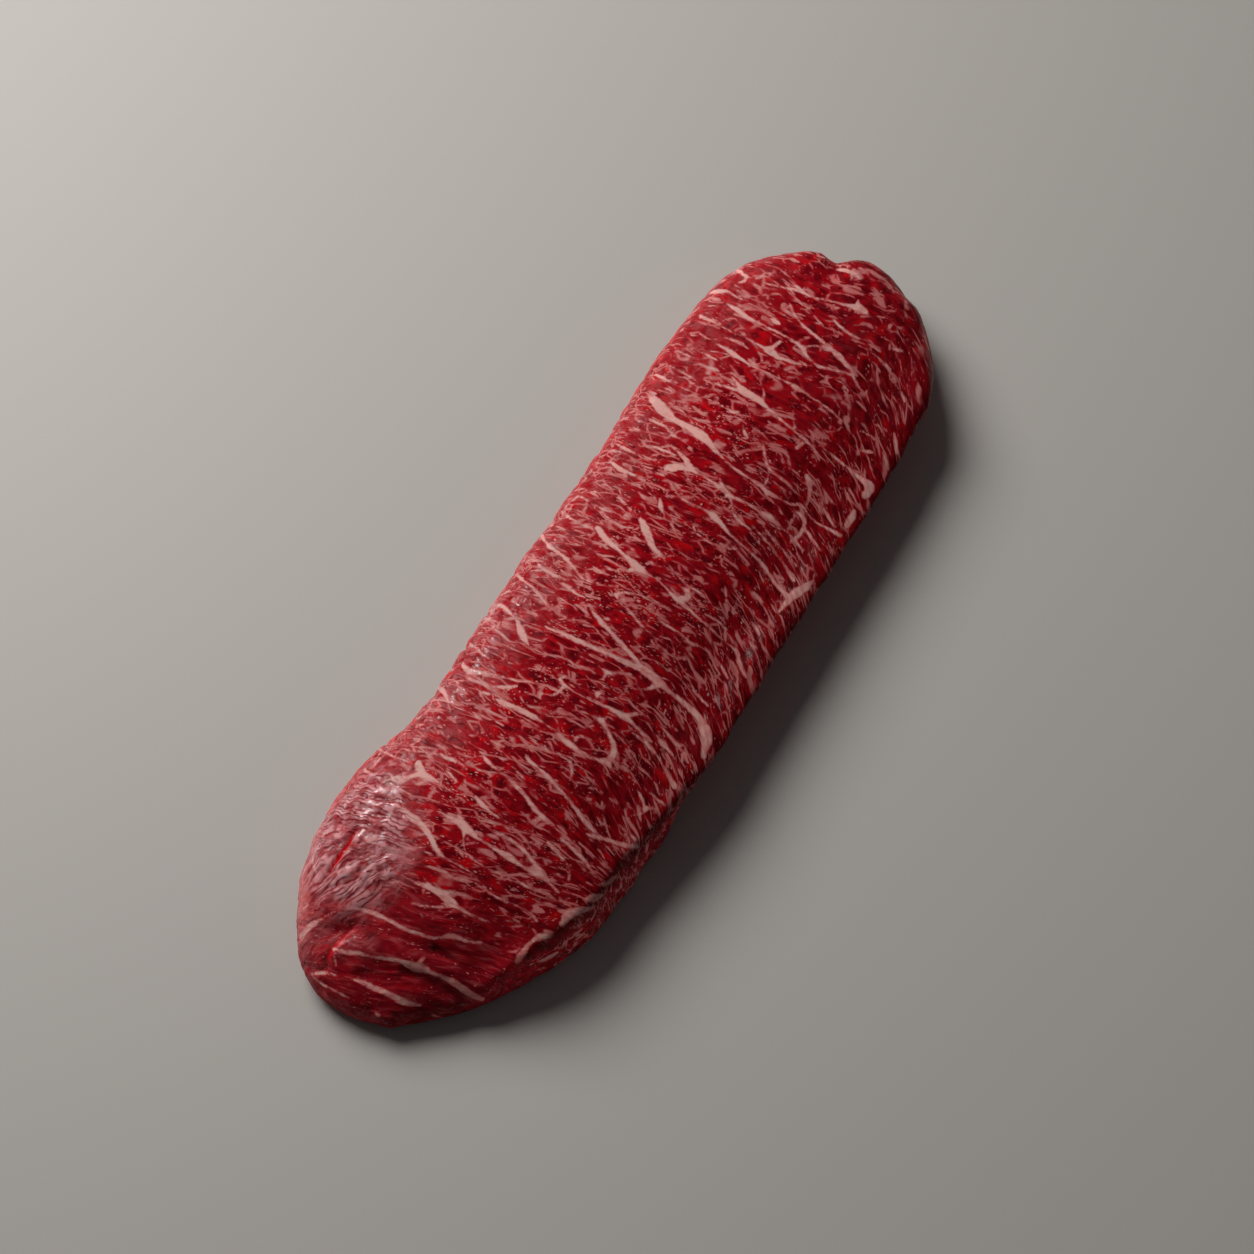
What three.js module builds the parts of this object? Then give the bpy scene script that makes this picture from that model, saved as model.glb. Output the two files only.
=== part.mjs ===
// A raw, finely marbled flat iron steak: one long slab of boneless beef, lying on its flat underside.
// Millimetres. +X runs along the steak to its blunt far end, +Y across it to its rolled long side, +Z up.
// The origin is the middle of the steak's bounding box, on the surface that the steak lies on.

import * as THREE from "three";
import { ImprovedNoise } from "three/addons/math/ImprovedNoise.js";

// Driving dimensions
const steakLength = 282;
const steakWidth = 84.1;
const steakThickness = 22;

// How the side is shaped: the shoulder is how far the top edge rolls over, the belly the height at which
// the steak is widest, and the tuck how far the side draws in below that, down to the underside. The
// roundness is 1 where it draws in along a round curve, and 0 where a knife left it straight.
const edges = {
  rolled: { shoulder: 10, belly: 8, tuck: 3, roundness: 1 },
  bulged: { shoulder: 14, belly: 8, tuck: 3.5, roundness: 1 },
  tapered: { shoulder: 15, belly: 5, tuck: 2.5, roundness: 1 },
  sheared: { shoulder: 2, belly: 7, tuck: 1.5, roundness: 1 },
  trimmed: { shoulder: 1.4, belly: 17.5, tuck: 1.3, roundness: 0 },
  overhung: { shoulder: 1, belly: 19.6, tuck: 7, roundness: 0 },
  blunt: { shoulder: 11, belly: 9, tuck: 4, roundness: 1 },
};

// The outline seen from above, counter-clockwise from the tip of the far end.
// Places are shares of half the length and half the width.
const outline = [
  { along: 0.999, across: -0.076, edge: "blunt" },
  { along: 0.987, across: 0.095, edge: "blunt" },
  { along: 0.965, across: 0.21, edge: "blunt" },
  { along: 0.97, across: 0.352, edge: "blunt" },
  { along: 0.877, across: 0.737, edge: "blunt" },
  { along: 0.789, across: 0.865, edge: "rolled" },
  { along: 0.539, across: 0.92, edge: "rolled" },
  { along: 0.27, across: 0.87, edge: "rolled" },
  { along: -0.028, across: 0.873, edge: "rolled" },
  { along: -0.404, across: 0.853, edge: "rolled" },
  { along: -0.468, across: 0.865, edge: "rolled" },
  { along: -0.525, across: 0.937, edge: "bulged" },
  { along: -0.603, across: 0.98, edge: "bulged" },
  { along: -0.773, across: 0.932, edge: "bulged" },
  { along: -0.936, across: 0.661, edge: "bulged" },
  { along: -0.986, across: 0.457, edge: "tapered" },
  { along: -1.0, across: 0.238, edge: "tapered" },
  { along: -0.99, across: 0.0, edge: "tapered" },
  { along: -0.957, across: -0.2, edge: "tapered" },
  { along: -0.855, across: -0.537, edge: "sheared" },
  { along: -0.649, across: -0.873, edge: "sheared" },
  { along: -0.53, across: -0.918, edge: "sheared" },
  { along: -0.404, across: -0.963, edge: "trimmed" },
  { along: -0.262, across: -1.011, edge: "overhung" },
  { along: 0.057, across: -1.012, edge: "overhung" },
  { along: 0.63, across: -0.996, edge: "overhung" },
  { along: 0.71, across: -0.942, edge: "overhung" },
  { along: 0.88, across: -0.669, edge: "blunt" },
  { along: 0.972, across: -0.323, edge: "blunt" },
];

// Slow swells of the top: a Gaussian hump or hollow at a place, as wide as its two reaches.
const swells = [
  { x: -88, y: 14, reachX: 30, reachY: 22, height: 2.6 }, // thick shoulder of the near end
  { x: -134, y: 2, reachX: 20, reachY: 26, height: -8.5 }, // near end thins towards its tip
  { x: -124, y: -22, reachX: 17, reachY: 12, height: -7.5 }, // and curls down to its trimmed side
  { x: 126, y: 4, reachX: 20, reachY: 30, height: -1.6 }, // far end thins a little
  { x: 10, y: -29, reachX: 75, reachY: 8, height: -1.2 }, // shallow valley behind the trimmed edge
  { x: 20, y: -39, reachX: 80, reachY: 3, height: 0.8 }, // lip of the trimmed edge
  { x: 60, y: 12, reachX: 18, reachY: 14, height: 0.8 },
  { x: 0, y: 6, reachX: 22, reachY: 16, height: 0.6 },
];

// Folds and dips in the top, as paths of x and y. A negative depth is a ridge.
const creases = [
  { path: [[-131, 10], [-127, 0], [-124, -9], [-123, -19]], reach: 3, depth: 2.4 }, // fold of the near end
  { path: [[-131, 17], [-126, 6], [-123, -4], [-120, -21]], reach: 2.6, depth: -1.5 }, // lip above that fold
  { path: [[-120, -3], [-118, -9], [-118, -15]], reach: 2.6, depth: 1.6 }, // hollow behind the lip
  { path: [[-133, 25], [-127, 18], [-121, 14]], reach: 2.6, depth: 1.8 }, // pocket at the near corner
  { path: [[139, 8], [130, 7], [119, 3]], reach: 3.6, depth: 2 }, // dip that runs in from the far notch
  { path: [[-62, 40], [-60, 26]], reach: 5, depth: 1 }, // dip behind the thick shoulder
];
const creaseEnd = 0.35; // share of its depth that a crease still has at its two ends

// The bundles of the meat lie across the steak, leaning over towards its trimmed side, and swell the top a
// little. Slower waves run under them. The side is scalloped all round and has small lumps. A slice is the
// level at which the noise field is read, so that no two of these follow each other.
const crown = { fall: 0.09 }; // share of the thickness by which the top is lower at the long sides
const bundles = { pitch: 8, length: 26, height: 0.45, lean: 0.3, slice: 3.7 };
const waves = { pitch: 34, height: 0.7, slice: 9.2 };
const scallops = { pitch: 8, depth: 0.55, slice: 1.3 };
const sideLumps = { pitch: 6, depth: 0.6, slice: 6.1 };

// How finely the surface is divided
const pointsAround = 216;
const wallSteps = 3;
const ringSteps = 18;
const middleSteps = 5;
const middleStart = 0.8; // share of the way in to the spine where the rings end and the middle strip begins

const spineReach = 100; // how far the middle line runs towards each tip
const spineSoftness = 6;
const noise = new ImprovedNoise();

function spineUnder(point) {
  const share = Math.abs(point.x) / spineReach;
  return new THREE.Vector2(point.x / (1 + share ** spineSoftness) ** (1 / spineSoftness), 0);
}

// Distance from a point to a path, and how far the nearest place is from the path's closer end.
function nearestOnPath(point, path) {
  let best = { distance: Infinity, fromEnd: 0 };
  const lengths = path.slice(1).map((p, i) => p.distanceTo(path[i]));
  const whole = lengths.reduce((sum, l) => sum + l, 0);
  let before = 0;
  lengths.forEach((segment, i) => {
    const run = path[i + 1].clone().sub(path[i]);
    const share = THREE.MathUtils.clamp(point.clone().sub(path[i]).dot(run) / segment ** 2, 0, 1);
    const distance = path[i].clone().addScaledVector(run, share).distanceTo(point);
    const along = before + share * segment;
    if (distance < best.distance) best = { distance, fromEnd: Math.min(along, whole - along) };
    before += segment;
  });
  return best;
}

const creasePaths = creases.map(({ path, reach, depth }) => ({
  points: path.map(([x, y]) => new THREE.Vector2(x, y)),
  reach,
  depth,
}));

function creaseDepth(point) {
  return creasePaths.reduce((sum, { points, reach, depth }) => {
    const { distance, fromEnd } = nearestOnPath(point, points);
    const fade = THREE.MathUtils.lerp(creaseEnd, 1, Math.min(1, fromEnd / (2 * reach)));
    return sum + depth * fade * Math.exp(-((distance / reach) ** 2));
  }, 0);
}

function topHeight(point) {
  const across = point.y / (steakWidth / 2);
  const crowned = steakThickness * (1 - crown.fall * across * across);
  const swell = swells.reduce((sum, s) => {
    const away = ((point.x - s.x) / s.reachX) ** 2 + ((point.y - s.y) / s.reachY) ** 2;
    return sum + s.height * Math.exp(-away);
  }, 0);
  const leaning = point.x + bundles.lean * Math.max(0, -point.y);
  const bundle = noise.noise(leaning / bundles.pitch, point.y / bundles.length, bundles.slice);
  const wave = noise.noise(point.x / waves.pitch, point.y / waves.pitch, waves.slice);
  return crowned + swell + bundles.height * bundle + waves.height * wave - creaseDepth(point);
}

// The outline as evenly spaced columns, each with its place on the belly line, its inward run and its edge.
function columnsAround() {
  const places = outline.map(
    (p) => new THREE.Vector3((p.along * steakLength) / 2, (p.across * steakWidth) / 2, 0)
  );
  const curve = new THREE.CatmullRomCurve3(places, true, "centripetal");
  curve.arcLengthDivisions = 10 * pointsAround;
  const around = curve.getLength();
  return Array.from({ length: pointsAround }, (_, i) => {
    const share = i / pointsAround;
    const t = curve.getUtoTmapping(share);
    const station = Math.floor(t * outline.length) % outline.length;
    const blend = THREE.MathUtils.smoothstep(t * outline.length, station, station + 1);
    const from = edges[outline[station].edge];
    const to = edges[outline[(station + 1) % outline.length].edge];
    const mix = (key) => THREE.MathUtils.lerp(from[key], to[key], blend);
    const at = curve.getPoint(t);
    const belly = new THREE.Vector2(at.x, at.y);
    const inward = spineUnder(belly).sub(belly);
    const room = inward.length();
    inward.normalize();
    const arc = share * around;
    const [shoulder, height, tuck, roundness] = ["shoulder", "belly", "tuck", "roundness"].map(mix);
    return { belly, inward, room, arc, shoulder, height, tuck, roundness };
  });
}

// A vertex of a column, that far in from the belly line and at that height. Only the side is uneven here.
function placed(column, inset, height) {
  const scallop = noise.noise(column.arc / scallops.pitch, 0, scallops.slice);
  const lump = noise.noise(column.arc / sideLumps.pitch, height / sideLumps.pitch, sideLumps.slice);
  const onSide = Math.max(0, 1 - inset / column.shoulder);
  const uneven = (scallops.depth * scallop + sideLumps.depth * lump) * onSide;
  const flat = column.belly.clone().addScaledVector(column.inward, inset + uneven);
  return new THREE.Vector3(flat.x, flat.y, height);
}

function wallPoint(column, step) {
  const angle = ((1 - step / wallSteps) * Math.PI) / 2;
  const inset = THREE.MathUtils.lerp(Math.sin(angle), 1 - Math.cos(angle), column.roundness);
  return placed(column, column.tuck * inset, column.height * (1 - Math.sin(angle)));
}

// The rings run up the rolled shoulder and in over the top, in even steps along that path.
function ringPoint(column, step) {
  const arc = (column.shoulder * Math.PI) / 2;
  const reach = column.room * middleStart - column.shoulder;
  const run = ((arc + reach) * step) / ringSteps;
  const angle = Math.min(run / column.shoulder, Math.PI / 2);
  const inset = column.shoulder * (1 - Math.cos(angle)) + Math.max(0, run - arc);
  const flat = column.belly.clone().addScaledVector(column.inward, inset);
  const rise = (topHeight(flat) - column.height) * Math.sin(angle);
  return placed(column, inset, column.height + rise);
}

function steakGeometry() {
  const columns = columnsAround();
  const rings = [];
  for (let step = 0; step <= wallSteps; step++) rings.push(columns.map((c) => wallPoint(c, step)));
  for (let step = 1; step <= ringSteps; step++) rings.push(columns.map((c) => ringPoint(c, step)));

  const vertices = rings.flat();
  const faces = [];
  const last = pointsAround - 1;
  const apart = (a, b) => vertices[a].distanceTo(vertices[b]);
  const quad = (a, b, c, d) => {
    if (apart(a, c) <= apart(b, d)) faces.push(a, b, c, a, c, d);
    else faces.push(a, b, d, b, c, d);
  };

  // Sides and the outer part of the top, ring on ring
  for (let ring = 0; ring < rings.length - 1; ring++) {
    for (let i = 0; i < pointsAround; i++) {
      const next = i === last ? 0 : i + 1;
      const low = ring * pointsAround;
      const high = low + pointsAround;
      quad(low + i, low + next, high + next, high + i);
    }
  }

  // Middle of the top: rungs from one long side of the innermost ring to the other
  const inner = (rings.length - 1) * pointsAround;
  const half = pointsAround / 2;
  const rungs = [Array(middleSteps + 1).fill(inner)];
  for (let i = 1; i < half; i++) {
    const left = inner + i;
    const right = inner + pointsAround - i;
    const rung = [left];
    for (let step = 1; step < middleSteps; step++) {
      const between = vertices[left].clone().lerp(vertices[right], step / middleSteps);
      between.z = topHeight(between);
      rung.push(vertices.push(between) - 1);
    }
    rungs.push([...rung, right]);
  }
  rungs.push(Array(middleSteps + 1).fill(inner + half));
  for (let i = 0; i < half; i++) {
    for (let step = 0; step < middleSteps; step++) {
      const [a, b, c, d] = [rungs[i][step], rungs[i + 1][step], rungs[i + 1][step + 1], rungs[i][step + 1]];
      if (a !== d) faces.push(a, b, d);
      if (b !== c) faces.push(b, c, d);
    }
  }

  // Flat underside
  const base = rings[0].map((v) => new THREE.Vector2(v.x, v.y));
  THREE.ShapeUtils.triangulateShape(base, []).forEach(([a, b, c]) => faces.push(a, c, b));

  const geometry = new THREE.BufferGeometry().setFromPoints(vertices).setIndex(faces);
  geometry.computeBoundingBox();
  const middle = geometry.boundingBox.getCenter(new THREE.Vector3());
  geometry.translate(-middle.x, -middle.y, 0);
  geometry.computeVertexNormals();
  return geometry;
}

const rawBeef = new THREE.MeshStandardMaterial({ color: 0x8f1d24, roughness: 0.42, metalness: 0 });
const steak = new THREE.Mesh(steakGeometry(), rawBeef);
steak.name = "steak";

const model = new THREE.Group();
model.add(steak);

export default model;
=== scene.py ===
import math

import bpy
import numpy as np
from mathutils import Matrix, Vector


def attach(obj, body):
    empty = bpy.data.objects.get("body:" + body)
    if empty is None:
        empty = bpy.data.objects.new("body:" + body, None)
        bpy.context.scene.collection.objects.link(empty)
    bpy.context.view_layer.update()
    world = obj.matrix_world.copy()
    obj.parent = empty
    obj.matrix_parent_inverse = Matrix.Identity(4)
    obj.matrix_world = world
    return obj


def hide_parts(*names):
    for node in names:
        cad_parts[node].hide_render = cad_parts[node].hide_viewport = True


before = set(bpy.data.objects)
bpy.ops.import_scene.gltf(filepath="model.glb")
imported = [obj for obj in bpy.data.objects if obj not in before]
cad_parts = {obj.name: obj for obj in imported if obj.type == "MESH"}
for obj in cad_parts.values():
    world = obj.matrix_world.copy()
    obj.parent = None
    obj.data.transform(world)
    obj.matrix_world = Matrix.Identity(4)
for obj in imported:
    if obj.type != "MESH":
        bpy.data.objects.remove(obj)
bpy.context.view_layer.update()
bpy.ops.object.select_all(action="DESELECT")
print("frame loaded")

mm = 0.001


# camera

sightLine = {
    "aim": (-0.00148, 0.00401, 0.0),
    "distance": 0.7,
    "downTilt": 60,  # degrees below the horizon
    "turn": 30,  # degrees between the steak's length and the line of sight
    "lens": 70,
    "sensor": 36,
}


def addCamera(values):
    tilt = math.radians(values["downTilt"])
    turn = math.radians(values["turn"])
    level = math.cos(tilt)
    sight = Vector((level * math.cos(turn), level * math.sin(turn), -math.sin(tilt)))
    place = Vector(values["aim"]) - sight * values["distance"]
    bpy.ops.object.camera_add(location=place, rotation=sight.to_track_quat("-Z", "Y").to_euler())
    camera = bpy.context.object
    camera.data.lens = values["lens"]
    camera.data.sensor_width = values["sensor"]
    bpy.context.scene.camera = camera


addCamera(sightLine)
print("camera placed")


# floor and soft studio light

studio = {
    "floorSize": 6.0,
    "floorColor": (0.50, 0.475, 0.447, 1),
    "floorRoughness": 0.62,
    "keyPlace": (0.23, 0.71, 0.75),
    "keySize": 0.8,
    "keyPower": 11.0,
    "keyColor": (1.0, 0.985, 0.96),
    "sparkleSize": 0.34,  # a smaller lamp at the same place, seen only in the wet gloss
    "sparklePower": 6.5,
    "skyColor": (0.92, 0.96, 1.0, 1),
    "skyStrength": 0.056,
}


def addLamp(values, size, power):
    place = Vector(values["keyPlace"])
    turn = (-place).to_track_quat("-Z", "Y").to_euler()
    bpy.ops.object.light_add(type="AREA", location=place, rotation=turn)
    lamp = bpy.context.object
    lamp.data.shape = "DISK"
    lamp.data.size = size
    lamp.data.energy = power
    lamp.data.color = values["keyColor"]
    return lamp


def addStudio(values):
    bpy.ops.mesh.primitive_plane_add(size=values["floorSize"])
    floor = bpy.context.object
    floor.name = "floor"
    floorLook = bpy.data.materials.new("paleFloor")
    floorLook.use_nodes = True
    shader = floorLook.node_tree.nodes["Principled BSDF"]
    shader.inputs["Base Color"].default_value = values["floorColor"]
    shader.inputs["Roughness"].default_value = values["floorRoughness"]
    floor.data.materials.append(floorLook)
    key = addLamp(values, values["keySize"], values["keyPower"])
    key.visible_glossy = False
    sparkle = addLamp(values, values["sparkleSize"], values["sparklePower"])
    sparkle.visible_diffuse = False
    sky = bpy.data.worlds.new("softRoom")
    bpy.context.scene.world = sky
    sky.use_nodes = True
    backdrop = sky.node_tree.nodes["Background"]
    backdrop.inputs["Color"].default_value = values["skyColor"]
    backdrop.inputs["Strength"].default_value = values["skyStrength"]
    bpy.context.scene.view_settings.view_transform = "Standard"


addStudio(studio)
print("floor and lights placed")


# the steak's body: the CAD solid, remeshed finely and softened

steakBody = {
    "merge": 1e-6,
    "voxel": 0.63 * mm,
    "softening": 0.5,
    "softenings": 5,
    "roundings": 10,  # more of it, away from the trimmed rim
    "rimBand": (-30, -38),  # across the steak, in mm: it fades out between these
    "rimSpan": (-70, 95),  # the part of the length where the trimmed rim stays sharp
    "footCut": 0.25 * mm,  # below this the foot is cut flat
}


def pick(piece):
    bpy.ops.object.select_all(action="DESELECT")
    piece.select_set(True)
    bpy.context.view_layer.objects.active = piece


def applyModifier(piece, kind, settings):
    modifier = piece.modifiers.new("shaping", kind)
    for name, value in settings.items():
        setattr(modifier, name, value)
    bpy.ops.object.modifier_apply(modifier=modifier.name)


def makeBody(node, values):
    pick(node)
    bpy.ops.object.duplicate()
    body = bpy.context.object
    body.name = "wagyuSteak"
    body.parent = None
    for key in list(body.keys()):  # the node's own labels stay with the node
        del body[key]
    body.data.materials.clear()
    bpy.ops.object.mode_set(mode="EDIT")
    bpy.ops.mesh.select_all(action="SELECT")
    bpy.ops.mesh.remove_doubles(threshold=values["merge"])
    bpy.ops.object.mode_set(mode="OBJECT")
    applyModifier(body, "REMESH", {"mode": "VOXEL", "voxel_size": values["voxel"]})
    smoothing = {"factor": values["softening"], "iterations": values["softenings"]}
    applyModifier(body, "SMOOTH", smoothing)
    away = body.vertex_groups.new(name="awayFromRim")
    bandStart, bandEnd = values["rimBand"]
    spanStart, spanEnd = values["rimSpan"]
    for vertex in body.data.vertices:
        x, y = vertex.co.xy / mm
        share = min(1, max(0, (y - bandEnd) / (bandStart - bandEnd)))
        if x < spanStart or x > spanEnd:
            share = 1
        if share > 0:
            away.add([vertex.index], share, "REPLACE")
    smoothing |= {"iterations": values["roundings"], "vertex_group": away.name}
    applyModifier(body, "SMOOTH", smoothing)
    body.vertex_groups.clear()
    bpy.ops.object.mode_set(mode="EDIT")
    bpy.ops.mesh.select_all(action="SELECT")
    bpy.ops.mesh.bisect(
        plane_co=(0, 0, values["footCut"]), plane_no=(0, 0, 1), use_fill=True, clear_inner=True
    )
    bpy.ops.mesh.select_all(action="SELECT")
    bpy.ops.transform.translate(value=(0, 0, -values["footCut"]))
    bpy.ops.object.mode_set(mode="OBJECT")
    bpy.ops.object.shade_smooth()
    return body


steak = makeBody(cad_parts["steak"], steakBody)
print("body made:", len(steak.data.polygons), "faces")


# places on the surface, in millimetres, that the relief and the material both read

grain = {
    "bendStart": -10,  # across the steak: past this line the fibres lean
    "bend": 0.0175,
    "nearLean": 0.2,  # the thick end's fibres lean the other way
    "near": (-68, -92),
    "tipLean": 0.14,
    "tip": (-108, -124),
    "farFrom": 55,  # past this the bundles grow wider
    "farSwell": 0.3,
    "farEase": 20,
}
skin = {
    "strokes": [  # where the silverskin lies: x, y and width
        ((-87, 30, 17), (-102, 27, 32), (-110.5, 24.5, 28), (-116, 23.5, 12)),
        ((-128.3, 16.5, 5), (-125.5, 11, 3)),
    ],
    "reach": 25.0,
    "edge": (3.5, -8.0),  # it sets in between these distances from a stroke's rim
    "band": (12, 30),  # a thin film along the rolled side, with the film's painted sheen
    "bandShare": 0.15,
    "bandNear": (10, -20),
    "bandMore": 0.15,  # more of it towards the near end
}
calming = {  # where the fine marbling fades
    "tip": (-100, -116),
    "tipShare": 0.75,
    "far": (60, 95),
    "farShare": 0.12,
    "skinShare": 0.85,
}
marblingZero = (-12.25, 2.67)  # where the veins below have their zero on the steak
marblingLevel = 20  # the height at which they are placed
marblingSlant = (0.5, 0.289)  # how far they shift for each millimetre below it

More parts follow.
